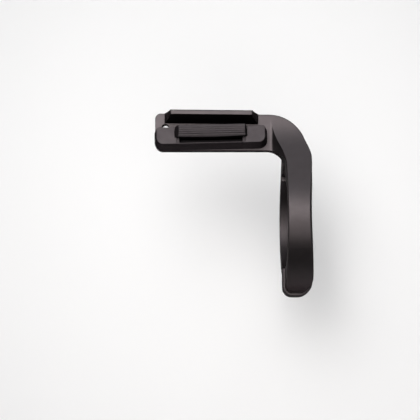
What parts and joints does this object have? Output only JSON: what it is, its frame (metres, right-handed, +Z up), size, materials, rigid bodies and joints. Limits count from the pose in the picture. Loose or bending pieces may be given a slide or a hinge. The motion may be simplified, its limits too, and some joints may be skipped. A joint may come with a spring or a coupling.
{
  "type": "bike computer mount",
  "caption": "Handlebar mount for a bike computer: hinged bar clamp with a side arm that carries a railed dock platform in front of the stem.",
  "frame": {"origin": "centre of the clamp bore, on the handlebar's axis and midway across the clamp", "axes": "+X along the handlebar to the rider's right, +Y forward, +Z up"},
  "size_m": [0.0535, 0.0613, 0.039],
  "materials": {
    "anodised_black": "satin anodised",
    "moulded_black": "matte",
    "black_steel": "black oxide",
    "bright_steel": "ground"
  },
  "bodies": {
    "mount_body": {"arm": "anodised_black", "dock_plate": "moulded_black", "dock_screws": "black_steel"},
    "jaw": {"clamp_jaw": "anodised_black", "hinge_pin": "bright_steel"},
    "bolt": {"clamp_bolt": "black_steel", "bolt_washer": "black_steel"}
  },
  "joints": [
    {"name": "jaw_swing", "type": "hinge", "parent": "mount_body", "child": "jaw", "pos_m": [0, 0.0204, -0.002], "axis": [1, 0, 0], "range_deg": [0, 4.5]},
    {"name": "bolt_back_off", "type": "slide", "parent": "mount_body", "child": "bolt", "axis": [0, 0, -1], "range_m": [0, 0.0036]}
  ],
  "couplings": [
    {"joint": "bolt_back_off", "follows": "jaw_swing", "m_per_rad": 0.0445}
  ]
}
